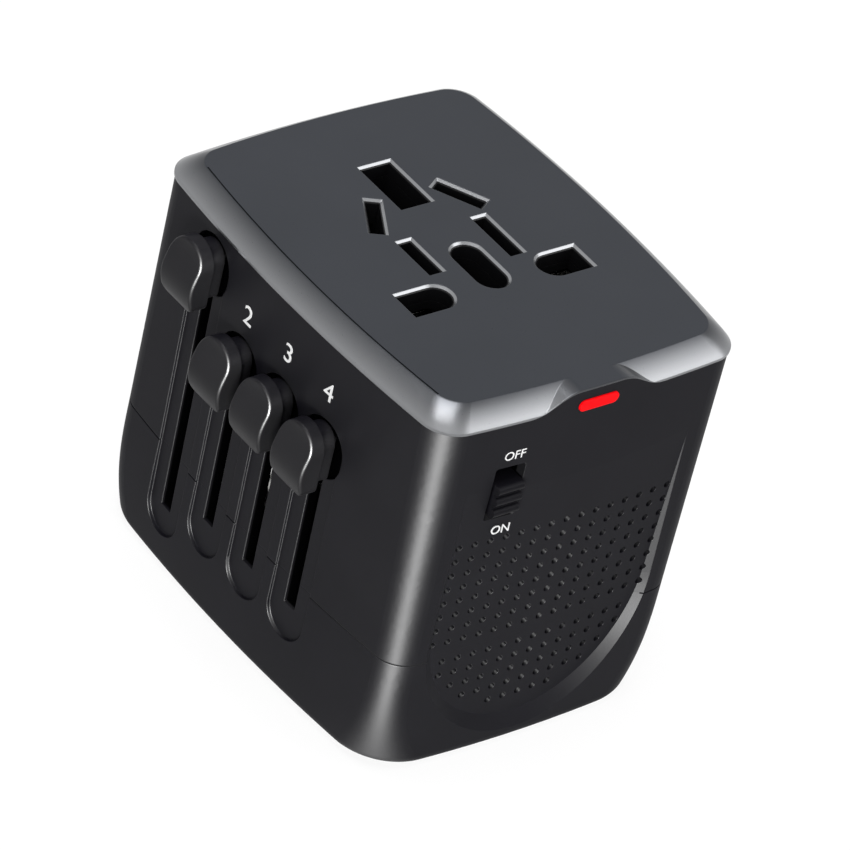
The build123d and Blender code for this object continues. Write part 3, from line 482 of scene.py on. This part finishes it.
def marks():
    """The numbers over the second to fourth slider, and the words at the mode switch."""
    ink = ink_material()
    for text, y, depth in TRACK_NUMBERS:
        z = BODY_HEIGHT - depth
        slope = side_x(y, z + 1) - side_x(y, z - 1)
        bow = side_x(y - 1, z) - side_x(y + 1, z)
        mark("track_number_" + text, text, TRACK_NUMBER_SIZE,
             (-side_x(y, z), y, z), (-bow, -2, 0), (-slope, 0, 2), ink)
    for text, x, depth in SWITCH_WORDS:
        z = BODY_HEIGHT - depth
        bow = front_y(x - 1, z) - front_y(x + 1, z)
        slope = front_y(x, z + 1) - front_y(x, z - 1)
        mark("switch_word_" + text, text, SWITCH_WORD_SIZE,
             (x, -front_y(x, z), z), (2, bow, 0), (0, -slope, 2), ink)


# Floor, light and camera
def seen_share(tree):
    """One for the rays that see the background: from the camera, mirrored or through glass."""
    path = tree.nodes.new("ShaderNodeLightPath")
    seen = math_node(tree, "ADD", path.outputs["Is Camera Ray"],
                     path.outputs["Is Glossy Ray"], clamp=True)
    return math_node(tree, "ADD", seen, path.outputs["Is Transmission Ray"], clamp=True)


def floor_material():
    """Plain diffuse, and white to the camera and in reflections except under the part."""
    mat = bpy.data.materials.new("floor_white")
    tree, out = empty_tree(mat, "ShaderNodeOutputMaterial")
    diffuse = tree.nodes.new("ShaderNodeBsdfDiffuse")
    diffuse.inputs["Color"].default_value = (0.8, 0.8, 0.8, 1.0)
    glow = tree.nodes.new("ShaderNodeEmission")
    x, y = place(tree)[:2]
    beside = math_node(tree, "GREATER_THAN", math_node(tree, "ABSOLUTE", x), UNDER_HALF_WIDTH)
    before = math_node(tree, "GREATER_THAN", math_node(tree, "ABSOLUTE", y), UNDER_HALF_DEPTH)
    clear = math_node(tree, "MAXIMUM", beside, before)
    white = math_node(tree, "MULTIPLY", seen_share(tree), FLOOR_WHITE_SHARE)
    mix_shaders(tree, math_node(tree, "MULTIPLY", white, clear), diffuse, glow, out)
    return mat


def floor():
    far = FLOOR_HALF_SIZE
    mesh = bpy.data.meshes.new("floor")
    corners = [(x, y, FLOOR_LEVEL) for x, y in ((-far, -far), (far, -far), (far, far), (-far, far))]
    mesh.from_pydata(corners, [], [(0, 1, 2, 3)])
    plane = bpy.data.objects.new("floor", mesh)
    bpy.context.scene.collection.objects.link(plane)
    mesh.materials.append(floor_material())


def world():
    """White to the camera and in reflections, a weak fill for the light on the object."""
    made = bpy.data.worlds.new("studio")
    bpy.context.scene.world = made
    tree, out = empty_tree(made, "ShaderNodeOutputWorld")
    back = tree.nodes.new("ShaderNodeBackground")
    back.inputs["Color"].default_value = (1, 1, 1, 1)
    fill = tree.nodes.new("ShaderNodeBackground")
    fill.inputs["Color"].default_value = (1, 1, 1, 1)
    fill.inputs["Strength"].default_value = WORLD_FILL
    mix_shaders(tree, seen_share(tree), fill, back, out)


def lamp(name, at, size, power, mirrored=True, glint_on=()):
    """A soft lamp, mirrored by the surfaces or not.

    One with glint_on adds only its reflection, and only to the named nodes.
    """
    data = bpy.data.lights.new(name, "AREA")
    data.shape = "RECTANGLE"
    data.size, data.size_y = size
    data.energy = power
    made = bpy.data.objects.new(name, data)
    bpy.context.scene.collection.objects.link(made)
    made.location = at
    made.rotation_mode = "QUATERNION"
    made.rotation_quaternion = (Vector(LAMP_AIM) - Vector(at)).to_track_quat("-Z", "Y")
    made.visible_camera = False
    made.visible_glossy = mirrored
    if glint_on:
        made.visible_diffuse = False
        lit = bpy.data.collections.new(name + "_nodes")
        for node in glint_on:
            lit.objects.link(NODES[node])
        made.light_linking.receiver_collection = lit


def camera():
    data = bpy.data.cameras.new("camera")
    data.lens = CAMERA_LENS
    data.sensor_width = CAMERA_SENSOR
    data.clip_start, data.clip_end = 0.05, 20.0
    made = bpy.data.objects.new("camera", data)
    bpy.context.scene.collection.objects.link(made)
    made.matrix_world = Matrix.Translation(CAMERA_AT) @ Matrix(CAMERA_TURN).to_4x4()
    bpy.context.scene.camera = made


dress()
marks()
floor()
world()
lamp("key_top", (-0.1, 0.1, 1.3), (0.8, 0.8), 22.0)
lamp("front_left", (-1.0, -1.0, 0.7), (1.0, 1.0), 16.0, mirrored=False)
lamp("fill_right", (1.1, -1.0, 0.85), (1.1, 1.1), 11.0)
lamp("corner_glint", (-1.0, -1.0, 0.2), (0.6, 0.3), 1400.0, glint_on=GLINT_NODES)
camera()
bpy.context.scene.view_settings.view_transform = "Standard"
